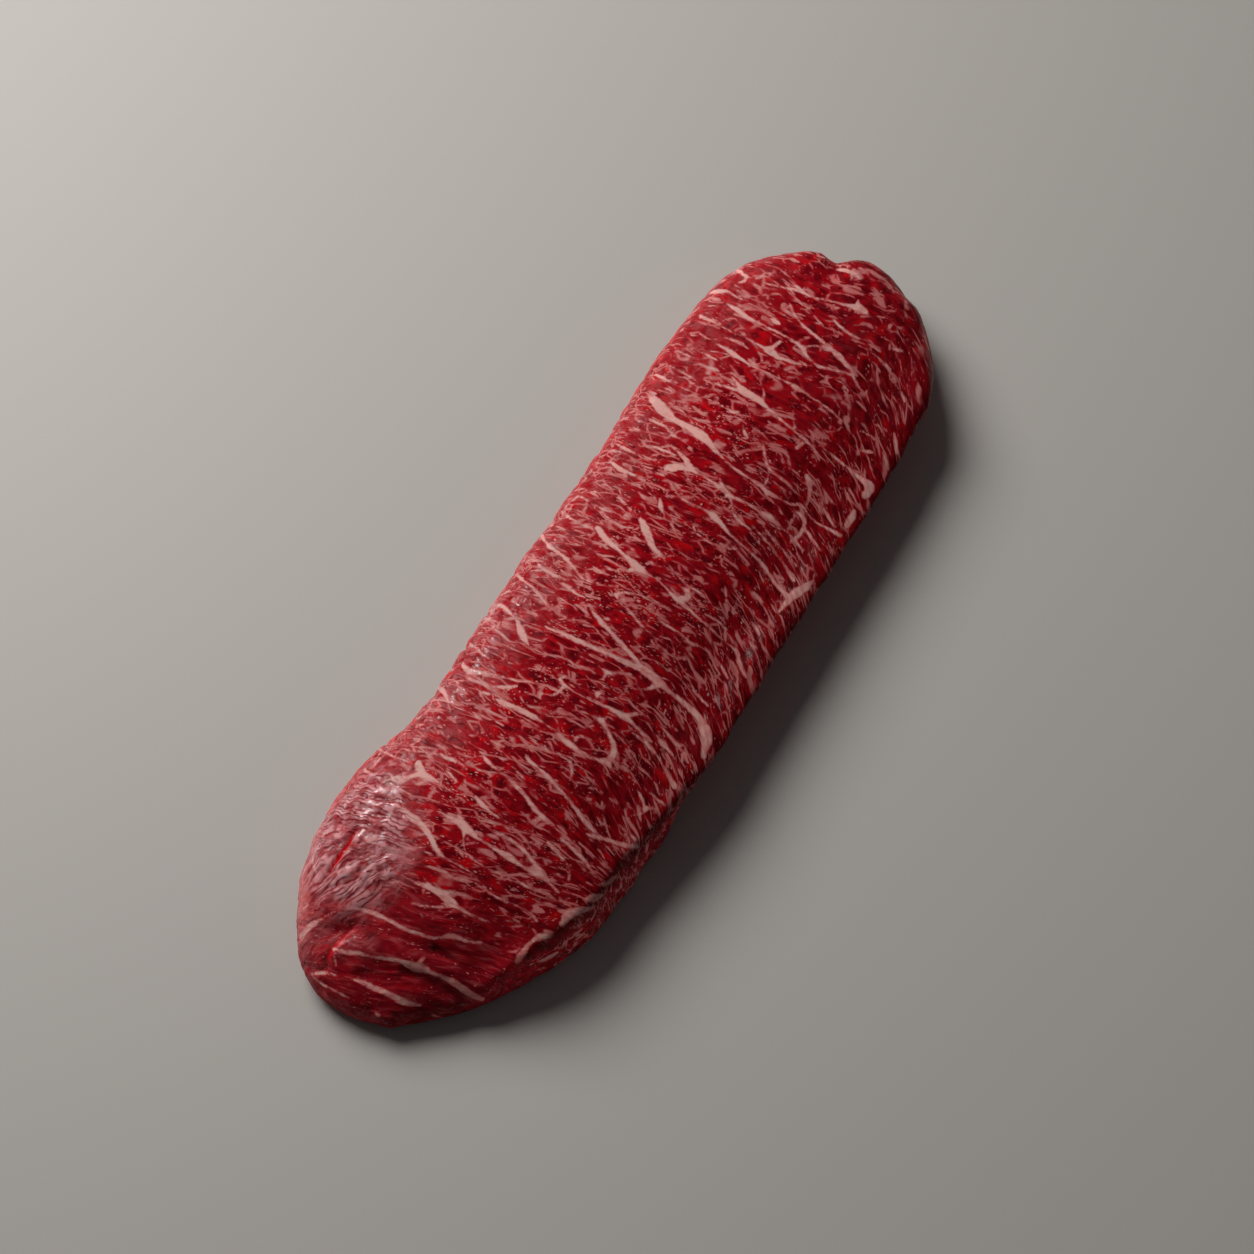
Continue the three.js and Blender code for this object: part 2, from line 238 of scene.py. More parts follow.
# each vein: x, y and width of the points that it runs through
veins = [
    # the near end
    ((-126.4, 6.7, 0.9), (-126.1, 3.8, 1.3), (-125.8, 1, 1.7), (-125.7, -2, 2.1), (-125.2, -5.7, 2.4),
     (-125.2, -9.3, 2.3), (-125, -12.1, 1.9), (-124.1, -14.5, 1.2)),
    ((-121.1, 13.2, 1.4), (-120.3, 10.3, 1.7), (-118.5, 6.7, 1.7), (-117.4, 2.9, 1.5), (-115.9, -0.8, 1.5),
     (-114.9, -4.1, 1.7), (-114.9, -6.5, 2.8), (-114.9, -8.3, 3.2), (-114.1, -10.3, 2.4), (-113.9, -13.1, 2),
     (-113.6, -16, 2.2), (-113.6, -19, 2.4), (-114.2, -22, 2.6), (-114.6, -24.4, 2.4), (-114.8, -27.4, 1.8)),
    ((-114.4, -8, 1.8), (-111.1, -8.3, 1)),
    ((-121.3, 13.3, 0.7), (-123.4, 11.3, 1), (-125, 10.2, 0.7)),
    ((-130.8, 14.3, 1.1), (-129.3, 12.8, 1.6), (-128, 10.5, 1.1), (-127.2, 7.5, 0.8)),
    ((-131.4, 13.5, 0.9), (-131.8, 9.8, 0.9), (-131.5, 6.8, 1), (-131.4, 3.8, 0.9), (-131.3, 0.8, 0.7)),
    ((-131.4, -6.1, 1.5), (-131.6, -6.6, 1.5)),
    ((-125.2, -18.6, 1.3), (-125.1, -21.5, 1.4)),
    ((-123.9, 21.8, 1.2), (-122.3, 22.3, 2.2), (-119.9, 22.1, 2.3), (-117.7, 21.5, 2), (-115.8, 20.7, 1.2),
     (-111.6, 18.6, 1.4), (-108.9, 15.9, 1.4), (-107.6, 13.4, 1.4), (-106.9, 10.7, 1.5), (-106.7, 7.8, 1.7),
     (-106.6, 4.8, 1.8), (-106.7, 1.6, 1.8), (-106.4, -1.2, 1.6), (-105.8, -3.9, 1.4), (-105.2, -7.2, 1.6),
     (-104, -9, 1.8), (-102.4, -11, 2.5), (-101.8, -13, 2.2), (-101.4, -15.9, 1.3), (-100.3, -18.7, 1.5)),
    ((-115.6, 28.4, 1.2), (-111.6, 28.4, 1.2), (-108, 28.3, 0.9), (-105.1, 27.7, 0.8)),
    ((-102, 32.1, 0.8), (-103.9, 30, 1.2), (-105, 28.2, 0.8)),
    ((-109.5, 31.3, 0.8), (-105.6, 32.2, 0.9), (-102.9, 32.5, 0.7)),
    ((-117, 26.3, 0.8), (-113.9, 25.7, 1)),
    ((-99.2, 2.5, 0.8), (-98, -1, 0.9), (-96.6, -4, 1.2), (-95, -6.5, 1.6)),
    ((-93.8, 10, 0.7), (-93.6, 6, 1.2), (-93, 2, 2.2), (-93, -2, 2.6), (-93.7, -5.5, 3), (-94.3, -9, 1.7),
     (-94.4, -13.5, 1.2), (-93.9, -17.5, 0.9)),
    ((-90, 6, 0.7), (-91.3, 3.5, 1), (-92.5, 1, 1.8)),
    ((-92.5, -2.5, 1.8), (-91, -5.5, 1.4), (-90.5, -8.5, 0.8)),
    ((-77.2, 21, 1.2), (-77.8, 16, 2.6), (-78.8, 11.5, 2.4), (-80.7, 7.7, 2), (-82.5, 5, 1.8),
     (-83.6, 1.5, 1.2), (-83.6, -3, 1), (-84, -8, 0.8)),
    ((-84.8, 4, 0.9), (-83.3, 3.5, 1.6)),
    ((-73.3, 34, 1.5), (-73.2, 28, 1.3), (-72.6, 20, 1), (-72.8, 11, 1), (-73, 5, 1.8), (-73.6, 2, 2.8),
     (-74.6, -3.5, 1.4), (-75, -8.5, 1.3), (-75.2, -12.8, 2.4), (-75.8, -17.5, 1.3), (-75.3, -21.8, 2.8),
     (-76.3, -25.5, 1.4), (-77.5, -29, 1)),
    ((-70.5, 6, 0.9), (-71.8, 4.5, 1.6), (-73.4, 2.3, 2)),
    ((-73.6, 2, 1.6), (-76.2, 0.8, 0.9), (-78, -0.5, 0.8), (-80, -2.5, 0.7)),
    ((-70.7, -5, 0.9), (-70.7, -9, 1.2), (-70.8, -12.5, 1.4), (-72, -16, 1.3), (-73.5, -19.5, 1.6),
     (-75, -21.8, 2.2)),
    ((-79.8, -3, 0.9), (-80.6, -7.5, 1), (-80.9, -13, 0.9), (-80.3, -18, 0.9), (-80, -23, 1.2),
     (-79.5, -26.5, 1.6), (-79.8, -29.5, 1)),
    ((-86, -9, 0.8), (-86.5, -14, 0.9), (-86.6, -19, 0.8), (-86, -24, 0.9), (-87, -28, 1.7)),
    ((-100, -29.7, 1.6), (-96.5, -29.8, 2.2), (-93, -30.2, 2), (-90.8, -31.5, 2.6), (-89, -33.5, 1.6)),
    ((-85, -34.3, 1.8), (-81.8, -34.5, 3.2), (-79, -36.5, 2.6), (-77, -38.5, 1.6)),
    ((-76, -35.5, 1.2), (-74.6, -37.3, 2.8), (-73, -39, 1.6)),
    ((-70.5, -37, 1), (-69, -38.5, 2), (-66, -39.5, 1.4)),
    ((-79.6, -30.5, 1.2), (-79.2, -33.5, 1.4)),
    ((-112, 4, 0.8), (-110.5, -1, 0.9), (-109, -5, 0.8)),
    ((-80.5, 33, 1), (-79.8, 27, 1), (-79.5, 21, 0.8)),
    ((-77, 34, 1), (-76.3, 29, 1.1), (-75.8, 23, 1), (-75.8, 17, 0.8)),
    ((-86.5, 3, 0.7), (-87, -1, 1), (-87.5, -4.5, 0.8)),
    ((-64, -22, 0.8), (-65, -26, 1.3), (-66.5, -30.5, 1.2), (-68.5, -34, 1.2)),
    ((-90, -37.5, 0.8), (-87, -38.8, 1.4), (-84, -39.5, 1)),
    ((-98, -34.5, 0.8), (-96, -36, 1.4), (-93.5, -37.5, 0.9)),
    # the near middle
    ((-72.5, 27, 3), (-71, 24.5, 3.4), (-69, 22.5, 1.8), (-67, 21.3, 1.6), (-66, 19.5, 2.2),
     (-65.9, 16, 1.2), (-66.3, 11, 0.9), (-66.6, 8, 0.7)),
    ((-63.3, 23, 1.6), (-64.6, 21.8, 2.8), (-65.8, 19.8, 2.2)),
    ((-66.6, 35, 1.4), (-66, 31.5, 1.4), (-65.3, 28, 1), (-64.8, 25, 1.2)),
    ((-62.5, 28, 0.8), (-60.5, 23.5, 0.9), (-59, 19.5, 1.2), (-58.5, 16, 1.6), (-58.2, 13, 1.3),
     (-58.8, 10.5, 0.8)),
    ((-61.5, 16, 0.7), (-62.7, 12.5, 1.4), (-63.5, 10.5, 1)),
    ((-64.3, 4.5, 0.8), (-65.3, 2.5, 1.8), (-66.3, -1, 1.6), (-66.9, -5, 1.6), (-67.2, -8.5, 1.3),
     (-68.3, -12, 1), (-69.7, -15, 0.9), (-71, -18, 0.8)),
    ((-52.5, 9.2, 0.8), (-54, 7.5, 1.3), (-54.8, 3.5, 1), (-55.5, 0, 1.1), (-56.5, -3.5, 1.5),
     (-58, -7.5, 1.5), (-59.7, -11, 1.4), (-61, -15, 1.6), (-62, -19, 1.2), (-63, -23.5, 1),
     (-64.2, -28, 0.8)),
    ((-64.5, -11.5, 0.8), (-62.5, -13, 1.2), (-61.2, -15, 1.4)),
    ((-52, 1, 0.7), (-53, -2, 1.2), (-54, -5, 0.8)),
    ((-47.5, -1, 1.2), (-48.6, -3, 1.6), (-49.2, -6.5, 1.3), (-50.3, -10.5, 1.7), (-52, -15, 1.6),
     (-53.5, -18.5, 1.5), (-55, -22, 1.6), (-56.5, -25, 1.9), (-57.3, -27.5, 1.4), (-58.5, -31, 1)),
    ((-59.5, -27, 1), (-58.7, -30.5, 1.4), (-57.9, -34, 1.4), (-57, -38, 2.2), (-56, -40, 2.2)),
    ((-36.8, 15, 1.2), (-36.8, 13, 2.4), (-36.4, 9, 1.9), (-36.4, 4, 1.7), (-36.7, -0.5, 1.4),
     (-37.4, -5, 1.5), (-38.6, -8.8, 2.1), (-39.2, -12.5, 1.5), (-39.2, -17, 1.4), (-38.6, -20.7, 2.6),
     (-40, -24, 1.2), (-41, -28, 0.9)),
    ((-38.6, -20.7, 2.2), (-36.3, -21.2, 2.3), (-33.4, -20.2, 1.8), (-31.5, -18, 1.5), (-29.8, -15.8, 1.6),
     (-28.2, -13, 2.2), (-28.3, -9.4, 1.2), (-28.7, -5.5, 0.8)),
    ((-28.2, -13, 1.4), (-26.5, -14.5, 0.7)),
    ((-20.3, 0, 0.7), (-21.3, 2.2, 1), (-22.8, 3, 1.4), (-23.9, 1, 1.2), (-24.2, -3, 1.2), (-24.2, -7, 1.2),
     (-24, -11, 1.3), (-24, -15, 1.8), (-24.3, -18, 2.6), (-25, -21, 1.4), (-26.2, -25, 1.4), (-27, -28, 1)),
    ((-23.8, -18, 1.6), (-22, -20, 1.8), (-21, -22, 1)),
    ((-15.5, -14.5, 0.8), (-14.7, -17.5, 1.2), (-13, -19.5, 1.4), (-10.8, -20.8, 2)),
    ((-22.5, -8.5, 1), (-21.5, -8, 1.8), (-20.5, -9.5, 1), (-19.8, -12, 0.7)),
    ((-10.7, 15, 1.2), (-10.1, 10, 1.8), (-9.9, 5, 2), (-9.6, -1, 2), (-9.4, -7, 1.9), (-9.1, -12.5, 2),
     (-9.1, -16.5, 2.6), (-9.7, -20, 2.6), (-11.2, -24.5, 1.8), (-12.2, -29, 1.9), (-13.5, -33.5, 2.5),
     (-14.8, -37, 2)),
    ((-14.8, -36.5, 2.4), (-17, -39, 3.6), (-20, -41, 3.2), (-24, -42.5, 1.8)),
    ((0.5, 7, 1), (-1.5, 2.5, 2), (-3, -1.5, 1.8), (-4.3, -4.5, 1.6), (-6, -9, 1.6), (-7.8, -13.5, 1.6),
     (-9, -17, 2)),
    ((-14, 3, 0.8), (-13.8, -1, 1.1), (-14.2, -5, 1.2), (-14.5, -7, 1.8), (-13.6, -9.5, 1)),
    ((-14.5, -7, 1.4), (-17, -7, 0.8)),
    ((-35.2, 25.7, 1), (-34.9, 22, 1.4), (-34, 18, 1.4), (-32.5, 14.8, 2.2), (-30.5, 11.9, 1.1)),
    ((-32.2, 29.1, 1.7), (-33.1, 25.7, 2.2), (-31.7, 22, 1.7), (-30.3, 17.8, 1.3), (-28.9, 12.2, 1)),
    ((-37.5, 21, 1), (-36.6, 17.5, 1.6)),
    ((-13, 22.5, 1.6), (-15.5, 20, 2.6), (-17.5, 17, 1.6), (-18.5, 14, 0.8)),
    ((-14.3, 31.3, 1.2), (-11.1, 29.7, 1.6), (-11.9, 25.8, 1.5), (-13, 22.5, 1)),
    ((-42.6, 31.5, 2), (-42, 29, 2.2), (-44, 26, 1.5), (-46.3, 23.9, 0.9)),
    ((-25.9, 30.2, 1.6), (-26.2, 27.1, 1.4), (-28.2, 23.6, 0.9)),
    ((-18.2, 27.9, 1), (-19.1, 23.6, 1.3), (-20.4, 18.9, 1)),
    ((-16.8, 31, 1), (-16, 27.5, 1.2), (-16.3, 24.5, 0.8)),
    ((-42.6, 2, 0.8), (-43, -2, 0.9), (-43.1, -6, 1), (-42.6, -8.5, 1.2), (-43.3, -12, 0.8)),
    ((-48, -15, 0.9), (-46, -14.3, 1.2), (-44.3, -13.2, 1.2), (-42.8, -11.8, 0.8)),
    ((-36.8, -10, 1.4), (-35.5, -10.3, 1.4), (-34.8, -12.5, 1), (-35, -15, 0.8)),
    ((-27.3, -22, 0.9), (-28, -26, 1.4), (-29.3, -30, 1.2), (-31.5, -34, 1.3), (-34, -37.5, 1.6),
     (-35.5, -40, 2)),
    ((-25.3, -29.5, 1.2), (-25.9, -31, 2.2), (-27, -33.5, 1), (-28.5, -36.5, 0.8)),
    ((-41.5, -32, 0.8), (-43.3, -34.5, 1.4), (-45.5, -36.5, 1)),
    ((-49, -34.5, 1), (-47, -36.5, 1.3), (-45, -37, 1.6), (-44, -39, 1.2)),
    ((-53, -33, 0.8), (-53.8, -36.5, 1.2), (-54.5, -39, 1.4)),
    ((-40.3, -33.5, 0.8), (-41, -37, 1.1), (-41.8, -40.5, 1.2)),
    ((-66.5, -19, 0.8), (-67.8, -23, 1.2), (-69.5, -27, 0.9)),
    ((-69.5, -26.5, 0.8), (-71, -28.5, 1.4), (-73, -29.5, 1)),
    ((-29.3, 6, 0.7), (-28.2, 2.5, 1), (-26.3, 1.3, 1.2), (-24.5, 1.2, 1.2)),
    ((-6, -24, 0.8), (-7, -28, 1), (-8.5, -32, 1.2), (-10, -36, 1.2)),
    ((-21, -26.5, 0.8), (-22.5, -30, 1.2), (-24.5, -34.5, 1.2), (-26, -38, 1)),
    ((-18.5, -24.5, 0.8), (-19.5, -28, 1.1), (-20.8, -32.5, 1)),
    # the far middle
    ((8, 3.5, 1.6), (6.3, 1, 1), (5.5, -2, 1), (3.5, -6.5, 1.2), (2, -11, 1.2), (1.3, -15, 1.2),
     (0.7, -19, 0.9)),
    ((8, 3.5, 1.6), (9.8, 1.5, 0.9), (10.9, -1.5, 0.8), (11.2, -5, 1), (11.8, -9, 1), (12, -12, 0.6)),
    ((9.2, -7, 0.6), (7.5, -10, 1), (6.6, -13, 1.3), (6.3, -17, 1.3), (5.5, -21, 0.8)),
    ((24.3, 18.5, 2.6), (22.4, 15, 2.2), (21.1, 10.6, 1.7), (20, 6.3, 1.6), (18.8, 2.7, 2.6),
     (18.3, -0.9, 1.4), (18.3, -3.7, 1.5), (17.8, -5.2, 1.2), (16.8, -8, 1.1), (15.6, -10.9, 1.6),
     (14.7, -14.4, 1.8), (13.7, -18, 1.2), (12.8, -21, 1), (11.9, -24.4, 1), (10.6, -28, 1.2),
     (9.6, -32.3, 1), (8.5, -35.9, 0.8)),
    ((18.3, -4, 1.2), (19.2, -6, 0.8), (19.6, -9.4, 0.7), (19, -13, 1.5)),
    ((15.3, -12.5, 2.4), (17.2, -14.3, 2.4), (19.2, -13.2, 1.5)),
    ((13.9, 10.6, 0.6), (14.7, 7.7, 0.8), (16, 4.9, 1), (18.4, 2.8, 2)),
    ((33.1, 9.9, 1.6), (31, 7, 3), (28.5, 4.1, 2.8), (26.7, 2, 1.8), (25.3, -1.6, 1.3), (23.5, -5.1, 1.2),
     (22.1, -8.7, 1.2), (20.6, -12.3, 1.4), (20.3, -15.9, 1.2), (19.2, -19.4, 0.9), (17.4, -23.7, 0.8),
     (16.4, -26.6, 0.6)),
    ((25.2, -1.5, 0.9), (26.6, -3.8, 1.2), (27.5, -4.6, 0.6)),
    ((36.4, 2, 0.8), (35.3, 0.5, 1.2), (34.2, -0.9, 0.8)),
    ((41, -4, 0.8), (38.2, -4.6, 1), (36.8, -6.5, 0.9), (36.2, -10, 0.9), (35.4, -14, 0.9), (34.8, -17.5, 1),
     (33, -21, 0.9), (31, -24, 0.7)),
    ((36.3, -15, 1), (37.8, -17.5, 1.8), (38.3, -20, 0.8)),
    ((45, 3, 1), (44.8, -1, 0.9), (45, -5, 1.2), (44.5, -7.5, 2.6), (43.5, -10, 1.8), (41.8, -13.5, 1.5),
     (40.3, -18, 1.4), (38.9, -23, 1.4), (37.4, -27, 1.3), (35.3, -30.5, 1.3), (33.5, -33.5, 1.6),
     (32.5, -36.5, 1.8), (31.5, -38.5, 2.5)),
    ((49, 4, 0.6), (49.1, 0, 0.9), (49.4, -4, 1), (50.4, -6.6, 1), (52.6, -7.8, 1.2)),
    ((52.5, -8.5, 1.2), (50, -10.5, 1.2), (47.8, -12.5, 1.3), (46.5, -15, 1.2), (45.5, -18, 0.9),
     (43.5, -22, 0.8), (42, -26, 0.8)),
    ((60.5, 4, 0.7), (58.8, 1, 1), (57, -2, 1.1), (55, -4.5, 1.3), (53.4, -7, 1.4)),
    ((52, 13, 1), (52.6, 11, 3.2), (54.2, 8.4, 2.4), (54.7, 4.1, 1.5), (54.6, 0, 1.3), (53.7, -4.4, 1.6),
     (52.9, -8.7, 1.5), (52.8, -13, 1.2), (52.6, -17.3, 1.2), (52.1, -20.9, 2.6), (51, -25.1, 1.3),
     (50.1, -28.7, 1.1), (48.9, -31.6, 1), (47.1, -35.1, 0.8)),
    ((59.8, 17, 0.8), (58.8, 13, 1.1), (57.5, 9, 1.6), (55.8, 6.5, 2.2), (54.8, 4, 1.6)),
    ((71, 27, 3.5), (68.9, 22, 4), (67.8, 18.4, 3), (67.6, 13.4, 2.2), (66.7, 9.1, 4), (65.6, 5.6, 2.6),
     (63.5, 1.3, 1.8), (62.1, -3, 1.5), (61, -7.3, 1.3), (60.6, -10.9, 1.2), (60.1, -14.4, 1.3),
     (59.1, -17.3, 2), (58.9, -20.9, 1.5), (59, -24.4, 1.2), (60.3, -27.3, 2), (58.9, -30.1, 1),
     (57.3, -33.7, 1), (57.1, -38, 1.3), (56.7, -41.6, 2)),
    ((59, -17.5, 1.4), (56.5, -17, 0.7)),
    ((73.5, -8, 0.9), (71, -9.5, 1.2), (68.5, -11.5, 1.2), (66.5, -13.5, 1.8), (65.5, -17, 1.2),
     (64.5, -21, 1), (63, -24.5, 0.8)),
    ((66.3, -13.7, 1.2), (64, -14.7, 0.9), (61.5, -15.2, 0.8)),
    ((70, -24, 1.6), (68.5, -25.6, 2.4), (66, -27.2, 1.8), (63.5, -28.3, 1.2), (61, -28.8, 1)),
    ((48, -31, 1.4), (52, -31.8, 1.8), (55.5, -31, 1.4), (57.3, -29, 1.6), (57.8, -26.5, 0.9)),
    ((47, -18.5, 0.8), (45.5, -22.5, 1.1), (43.5, -27, 1.1), (41, -31.5, 1.1), (38.8, -35, 1.4),
     (37, -37.5, 1.6)),
    ((49.5, -20, 0.8), (47, -24, 1), (45.3, -28, 1), (43.5, -32, 1), (41.5, -36, 1.2)),
    ((53.5, -32.5, 0.8), (51.5, -36, 1.2), (49.5, -39.5, 1.2)),
    ((64.5, -30.5, 0.8), (62, -34, 1.3), (60, -37, 1.3), (58.5, -39.5, 1)),
    ((69, -29.5, 0.9), (67, -32.5, 1.3), (65.2, -36, 1.4)),
    ((22, -24, 0.8), (23.7, -23, 1.4), (25.5, -21.8, 0.8)),
    ((19.5, -33.5, 0.9), (18.3, -35.5, 1.9), (16.8, -37.5, 1.3)),
    ((4.5, -19, 0.8), (4.7, -22, 1.4), (5.3, -25, 1.1), (4.8, -28.5, 1), (3, -33, 1), (0.5, -36.5, 1.2)),
    ((16, -16, 0.8), (15, -20, 1.3), (14.8, -25, 1.2), (13.5, -29, 0.9)),
    ((28, -28, 0.8), (27.3, -30.5, 1.6), (26.2, -33, 1)),
    ((9.5, -34, 1), (7, -36.5, 1.8), (4.5, -39, 1.6), (3, -41, 1.4)),
    ((26, -38.8, 1.5), (30, -39.3, 2.6), (33.5, -40, 3.2), (37, -41.5, 2.6), (40, -42.3, 1.6)),
    ((60.5, -42, 2), (63.5, -42, 2.6), (66, -41.5, 1.6)),
    ((4, 18, 0.8), (3, 14, 1.2), (2.8, 10, 0.8)),
    ((5.5, 27, 1), (5, 24, 1.4), (4.8, 20, 1.4), (5.5, 17, 0.8)),
    ((14.4, 31.1, 1.8), (12.6, 27.9, 1.8), (11.9, 24.5, 1.5), (11.3, 20.8, 0.9)),
    ((-0.1, 30.9, 1.4), (-1.2, 26.8, 1.4), (-2.4, 22.4, 1.6), (-4.5, 18.2, 1)),
    ((6.6, 30.9, 1), (6, 28.5, 1)),
    ((24.3, 29.3, 1.4), (23.4, 26.7, 1.2), (23.3, 23.3, 1.2), (23, 19.9, 0.8)),
    ((29.5, 21, 0.8), (28.7, 17, 1.4), (28.5, 13, 1.2), (29.5, 10, 0.8)),
    ((36.3, 19, 1), (35.4, 16.5, 1.2)),
    ((38, 25, 0.8), (39.5, 22, 1.2), (41.3, 19, 1), (42.3, 16.5, 0.8)),
    ((46, 27, 1.2), (45, 23, 2), (45.3, 19, 1.6), (46, 15.5, 0.9)),
    ((48.3, 18, 0.9), (49, 14, 1.3), (49.5, 11, 0.9)),
    ((52.2, 29, 1), (51.9, 25, 1.3), (52, 20, 1.2), (52.6, 16, 1)),
    ((56, 22, 0.8), (56.8, 17, 1.2), (57, 12, 0.9)),
    ((61.5, 21, 0.8), (62.3, 17, 1.6), (63, 12.5, 1.3)),
    ((64.6, 25, 1), (64.3, 21, 1.6), (65, 17, 1)),
    ((31.5, 30, 1), (31, 26, 1.3), (30.8, 21, 1.3), (31.3, 17, 0.8)),
    ((11.6, 23, 0.9), (10.2, 18.8, 1.1), (7.6, 14.1, 0.8)),
    ((42, 8.5, 0.9), (40, 7.2, 1.7), (38.3, 5.6, 1.2)),
    ((8.3, 15, 0.9), (8, 12, 1.4), (8.3, 9.5, 0.8)),
    # the far end
    ((79.7, 32, 1.2), (79.2, 28, 1.8), (78.8, 24, 1), (79, 18, 0.9), (79, 13, 1.2), (78.8, 8, 0.8)),
    ((84, 29, 1.2), (83.7, 24, 1.2), (83.3, 20, 1)),
    ((84.3, 17, 0.7), (85.2, 13, 1.2), (86, 8.5, 1.6), (86.6, 5.5, 2.4)),
    ((90.3, 12.5, 0.7), (88.5, 9, 1.4), (87, 6, 3), (86.5, 2.5, 2.8), (85.7, -1, 2.2), (84.5, -5, 1.8),
     (82.9, -9.5, 1.4), (81.6, -14, 1.3), (80.7, -17.5, 1.8), (79.3, -21, 1.2), (77.5, -24.5, 1.2)),
    ((86.5, -0.3, 1.4), (88.5, 0, 1), (91, 1.8, 0.9), (93, 4.5, 0.8), (94, 6.5, 0.7)),
    ((98.8, 27, 1), (98, 22, 1.3), (97.4, 17, 1.8), (96.6, 12.5, 1.4), (96, 7, 1.2), (96, 1, 1),
     (95.8, -4, 1.2), (95.6, -7, 2.2), (95, -11, 1.2), (94.3, -15.5, 1), (93.3, -20, 0.9), (91.8, -24, 0.8)),
    ((93.5, -7.8, 0.9), (95.3, -7, 1.8)),
    ((104.6, 30, 1.6), (104.5, 25, 1.6), (104, 20, 1), (104, 14, 1), (103.6, 9, 1.4), (103.3, 6, 3),
     (102.6, 3, 1.6), (103, 0, 1.2), (103.3, -3, 1.4), (104.5, -6.5, 1.2), (105.6, -9.5, 1.4)),
    ((103.5, 6.5, 2), (105.5, 5.7, 1.6), (108, 5, 1)),
    ((112.3, 25.5, 1.2), (111.8, 22, 2.4), (111, 18, 1.6), (110.7, 12, 1.2), (110.4, 6, 1.1), (110, 1, 1.2),
     (109.3, -2, 1.8)),
    ((109.3, -2, 1.6), (107.3, -4.2, 1.4), (106.2, -7, 1.2), (105.7, -9.8, 1.6), (106.7, -13, 1.2),
     (107.5, -16.5, 1.4), (108, -19, 1.6)),
    ((109.5, -2, 1.2), (111.3, -4, 1.3), (112.6, -6.5, 1.4), (113, -9, 1.8)),
    ((122.2, 9.3, 0.8), (119.5, 6.5, 0.9), (117.2, 3, 1.1), (115.7, -1, 1.2), (114.5, -5, 1.4),
     (113.3, -8.5, 1.8), (112.3, -12, 2.6), (110.6, -15.5, 1.6), (109, -18.7, 1.6), (106.8, -20.5, 1.3),
     (105, -23, 1.2), (103.8, -26, 1)),
    ((104, -15.5, 0.8), (103.8, -18.5, 1.2), (102.5, -20.3, 1.4), (100.5, -21, 1), (98.5, -21.5, 0.8)),
    ((98.3, -16.5, 1), (97.8, -18, 1.4), (96, -20.8, 0.9), (94.5, -23.5, 0.8)),
    ((114, 11.5, 0.9), (113.8, 9.8, 2.4), (113.5, 8, 0.9)),
    ((117.8, 21, 0.8), (117.7, 16, 0.9), (117.4, 11, 1), (117, 7, 0.9)),
    ((125, 19, 1), (126, 15, 1.3), (127.3, 11, 1.4), (127.6, 7, 1.2), (127.6, 4, 1), (128.8, 0.5, 1),
     (129.6, -3, 1.2), (130.3, -7, 2.2), (130.8, -10, 3.6), (130.2, -13, 1.4)),
    ((130.2, 14.5, 0.7), (128.8, 10, 0.9), (127.8, 6.5, 1)),
    ((130.8, -9.5, 2), (132.5, -8.5, 1.4), (134, -7.8, 0.8)),
    ((128.8, -10.3, 1), (130.5, -9.8, 2)),
    ((141, 3, 1), (141.7, 0.5, 2.2), (142, -2.5, 1.8), (140.8, -5, 1)),
    ((139, -2.8, 0.8), (141.5, -2, 1.4)),
    ((126.5, 30, 2.2), (125.3, 27.5, 1.8), (124.5, 25, 1.4), (126, 22.5, 0.8)),
    ((121, 26.3, 0.8), (123, 25, 1.4), (124.8, 25.5, 1.4)),
    ((114.5, 31.5, 1.8), (115.8, 29.5, 2.4), (116.5, 27, 1.2)),
    ((123.7, 4.5, 0.7), (122, 1.5, 1), (120.7, -1, 1.4), (119.5, -3.5, 0.8)),
    ((123.2, -5, 0.8), (121.5, -9, 1.1), (120.8, -13, 1.1), (121.2, -17.5, 1), (120.8, -22, 0.9)),
    ((122.4, -24.5, 0.9), (122.7, -26.3, 2.2), (123, -28, 0.9)),
    ((118.3, -16, 0.8), (118, -20, 1.1), (117, -24, 1), (115.5, -28, 1)),
    ((116.5, -24, 0.7), (114.5, -28.5, 1.1), (112, -32, 1)),
    ((112.5, -29.5, 0.8), (109.8, -34, 1.2), (107, -37, 1.2)),
    ((80.5, -24, 0.9), (79.6, -28, 1.2), (78.3, -33, 1.4), (76.9, -38, 2.2), (75.5, -41.5, 3.4),
     (72.5, -42, 2.6)),
    ((91.8, -31, 1.6), (91.3, -34, 1.2), (90.6, -37, 0.8)),
    ((85.3, -33, 1), (85.9, -35, 2.2), (86.8, -37.5, 1)),
    ((76.8, -17, 1.8), (79, -17.6, 2)),
    ((86, -20, 0.9), (86.5, -22.5, 1.2), (88, -24.3, 1), (90, -25, 0.8)),
    ((88, -10, 0.7), (85, -11.5, 1), (82.7, -13.5, 1.2)),
    ((76, 0.3, 0.7), (74, -1.5, 1.6), (73, -2.8, 1.4)),
    ((77.5, 7, 0.9), (78.7, 4.5, 1.8), (78.5, 1.5, 1)),
    ((78, -5, 0.8), (77, -8, 1.2), (76.3, -11, 0.8)),
    ((89.8, 30, 1.2), (90, 26, 1), (89.5, 21, 0.8)),
    ((93.2, 28, 0.8), (92.8, 23, 1.1), (92.6, 18, 0.8)),
    ((117, 28, 0.8), (116.2, 24, 1.1), (116.3, 20, 0.8)),
    ((101, 20, 0.8), (101.5, 16, 1), (101, 12, 0.7)),
    ((88, -39.5, 0.8), (86, -41.5, 1.6), (83.5, -43.5, 1.2)),
    ((96, -39, 0.8), (93, -41, 1.2), (90, -43, 1)),
]
veinShape = {"blend": 0.25, "reach": 4.0}

